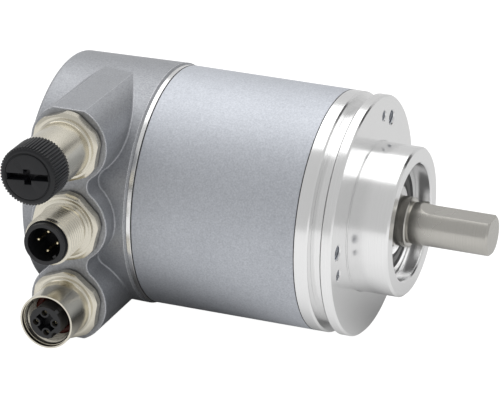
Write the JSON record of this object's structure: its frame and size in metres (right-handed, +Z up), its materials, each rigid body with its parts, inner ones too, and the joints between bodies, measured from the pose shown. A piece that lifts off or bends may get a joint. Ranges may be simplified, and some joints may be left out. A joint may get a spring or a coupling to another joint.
{
  "type": "rotary encoder",
  "caption": "Round shaft encoder with a clamping flange, a turning shaft on two ball bearings, a geared turn counter, a rear housing with round ports and a screw-on dust cap.",
  "frame": {"origin": "on the shaft axis, in the flange's mounting face", "axes": "+X out along the shaft, -Y the way the ports look, +Z up"},
  "size_m": [0.1084, 0.0863, 0.0588],
  "materials": {
    "turned_aluminium": "fine turned, bright",
    "blasted_aluminium": "bead blasted and clear anodised, satin",
    "cast_housing": "fine-grained powder coat on a die casting",
    "black_rubber": "moulded",
    "red_rubber": "moulded",
    "bearing_steel": "ground",
    "seal_plate": "matt",
    "zinc_steel": "zinc plated",
    "stainless_steel": "ground",
    "black_plastic": "moulded, matt",
    "insert_plastic": "moulded, fine matt",
    "cap_plastic": "moulded, satin",
    "gear_plastic": "moulded, satin",
    "cage_plastic": "moulded",
    "circuit_board": "solder resist, semi-gloss",
    "chip_resin": "moulded",
    "lamp_resin": "clear",
    "disc_glass": "clear with a printed code",
    "brass": "turned",
    "gold_plate": "gold plated",
    "nickel_plate": "satin nickel",
    "magnet": "nickel plated"
  },
  "bodies": {
    "housing": {"mounting_flange": "turned_aluminium", "housing_sleeve": "blasted_aluminium", "joint_plate": "turned_aluminium", "rear_housing": "cast_housing", "housing_seal_rings": "black_rubber", "bearing_outer_rings": "bearing_steel", "bearing_seals": "seal_plate", "bearing_clamp_ring": "bearing_steel", "bearing_clamp_screws": "zinc_steel", "lamp_carrier": "black_plastic", "lamp": "lamp_resin", "sensor_board": "circuit_board", "sensor_chip": "chip_resin", "gear_base_plate": "black_plastic", "gear_cover_plate": "black_plastic", "gear_axles": "bearing_steel", "multiturn_board": "circuit_board", "turn_sensors": "chip_resin", "main_board": "circuit_board", "main_board_chips": "chip_resin", "tie_rods": "zinc_steel", "board_spacers": "brass", "joint_plate_screws": "zinc_steel", "rear_housing_screws": "stainless_steel", "interface_board": "circuit_board", "interface_screws": "zinc_steel", "interface_chips": "chip_resin", "network_transformers": "chip_resin", "port_board": "circuit_board", "board_headers": "black_plastic", "port_gaskets": "black_rubber", "upper_socket_shell": "nickel_plate", "upper_socket_insert": "insert_plastic", "middle_plug_shell": "nickel_plate", "middle_plug_insert": "insert_plastic", "middle_plug_pins": "gold_plate", "lower_socket_shell": "nickel_plate", "lower_socket_insert": "insert_plastic", "socket_contacts": "gold_plate", "socket_inner_seals": "red_rubber"},
    "shaft": {"shaft": "stainless_steel", "bearing_inner_rings": "bearing_steel", "bearing_spacer": "bearing_steel", "shaft_retaining_ring": "zinc_steel", "disc_hub": "brass", "hub_set_screws": "zinc_steel", "code_disc": "disc_glass", "shaft_pinion": "brass"},
    "front_cage": {"front_bearing_cage": "cage_plastic", "front_bearing_balls": "bearing_steel"},
    "rear_cage": {"rear_bearing_cage": "cage_plastic", "rear_bearing_balls": "bearing_steel"},
    "first_gear": {"first_gear": "gear_plastic", "first_gear_magnet": "magnet"},
    "second_gear": {"second_gear": "gear_plastic", "second_gear_magnet": "magnet"},
    "third_gear": {"third_gear": "gear_plastic", "third_gear_magnet": "magnet"},
    "cap_seal": {"cap_seal_ring": "black_rubber"},
    "dust_cap": {"dust_cap": "cap_plastic"}
  },
  "joints": [
    {"name": "shaft_spin", "type": "hinge", "parent": "housing", "child": "shaft", "pos_m": [0, 0, 0], "axis": [1, 0, 0], "continuous": true},
    {"name": "front_cage_spin", "type": "hinge", "parent": "housing", "child": "front_cage", "pos_m": [0.002, 0, 0], "axis": [1, 0, 0], "continuous": true},
    {"name": "rear_cage_spin", "type": "hinge", "parent": "housing", "child": "rear_cage", "pos_m": [-0.014, 0, 0], "axis": [1, 0, 0], "continuous": true},
    {"name": "first_gear_spin", "type": "hinge", "parent": "housing", "child": "first_gear", "pos_m": [0, 0.00987, 0.00359], "axis": [1, 0, 0], "continuous": true},
    {"name": "second_gear_spin", "type": "hinge", "parent": "housing", "child": "second_gear", "pos_m": [0, 0.00182, 0.01034], "axis": [1, 0, 0], "continuous": true},
    {"name": "third_gear_spin", "type": "hinge", "parent": "housing", "child": "third_gear", "pos_m": [0, -0.00804, 0.00675], "axis": [1, 0, 0], "continuous": true},
    {"name": "cap_travel", "type": "slide", "parent": "housing", "child": "cap_seal", "axis": [0, -1, 0], "range_m": [0, 0.009]},
    {"name": "cap_unscrew", "type": "hinge", "parent": "cap_seal", "child": "dust_cap", "pos_m": [-0.06365, -0.0525, 0.02], "axis": [0, -1, 0], "range_deg": [0, 3240]}
  ],
  "couplings": [
    {"joint": "front_cage_spin", "follows": "shaft_spin", "ratio": 0.381},
    {"joint": "rear_cage_spin", "follows": "shaft_spin", "ratio": 0.381},
    {"joint": "first_gear_spin", "follows": "shaft_spin", "ratio": -0.25},
    {"joint": "second_gear_spin", "follows": "shaft_spin", "ratio": 0.0625},
    {"joint": "third_gear_spin", "follows": "shaft_spin", "ratio": -0.015625},
    {"joint": "cap_unscrew", "follows": "cap_travel", "rad_per_m": 6283.2}
  ]
}
